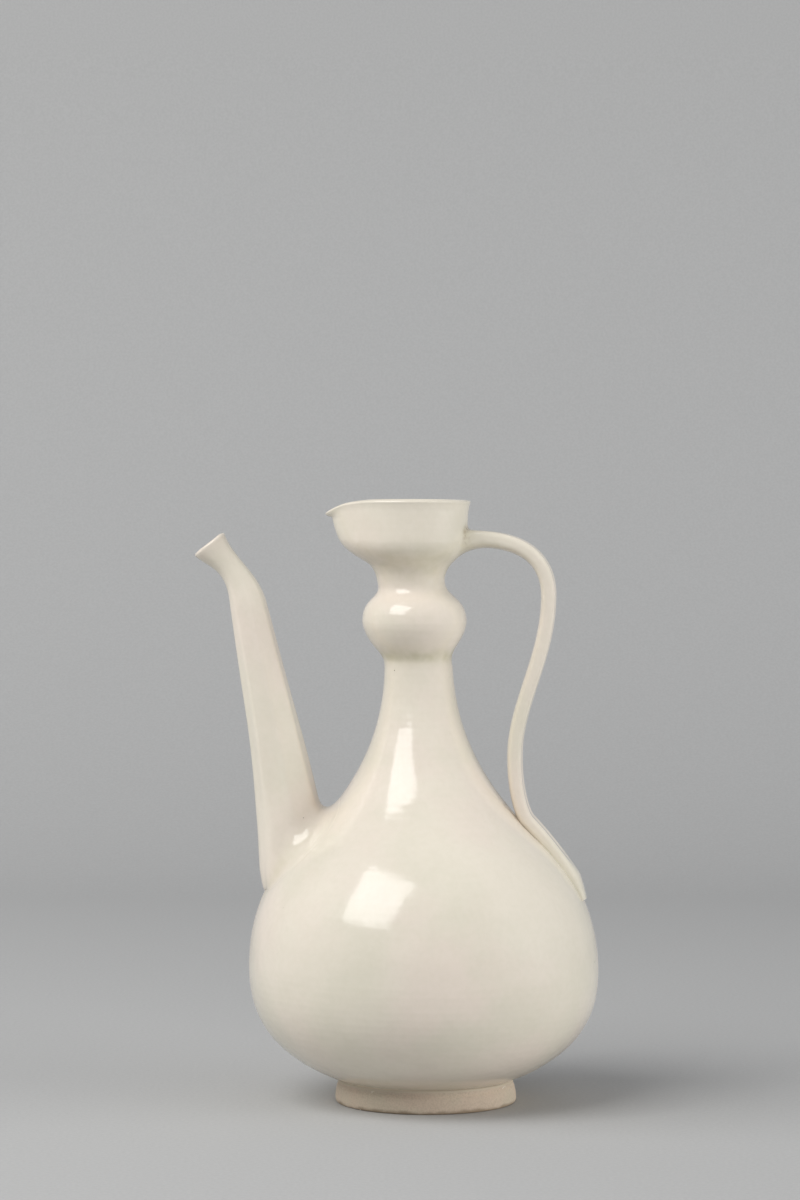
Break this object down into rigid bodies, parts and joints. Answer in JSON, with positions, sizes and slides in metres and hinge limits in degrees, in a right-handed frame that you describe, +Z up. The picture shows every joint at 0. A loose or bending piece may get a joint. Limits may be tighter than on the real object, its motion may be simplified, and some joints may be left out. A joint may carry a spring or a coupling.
{
  "type": "ewer",
  "caption": "Glazed ceramic ewer with a round belly, tall neck with a hollow bulb, lipped cup mouth, long faceted spout and a strap handle.",
  "frame": {"origin": "middle of the bounding box in X and Y, at the height of the surface that the foot stands on", "axes": "+Z up through the mouth, -X towards the spout, +X towards the handle, +Y away from the side that the picture shows"},
  "size_m": [0.201, 0.1744, 0.3],
  "materials": {
    "glaze": "glossy ivory-white transparent glaze with fine pinholes over pale stoneware",
    "bare_clay": "matt unglazed fired clay, buff with a pink tinge"
  },
  "bodies": {
    "root": {"foot_ring": "bare_clay", "lower_body": "glaze", "shoulder_neck": "glaze", "neck_bulb": "glaze", "cup_mouth": "glaze", "spout": "glaze", "handle": "glaze"}
  },
  "joints": []
}
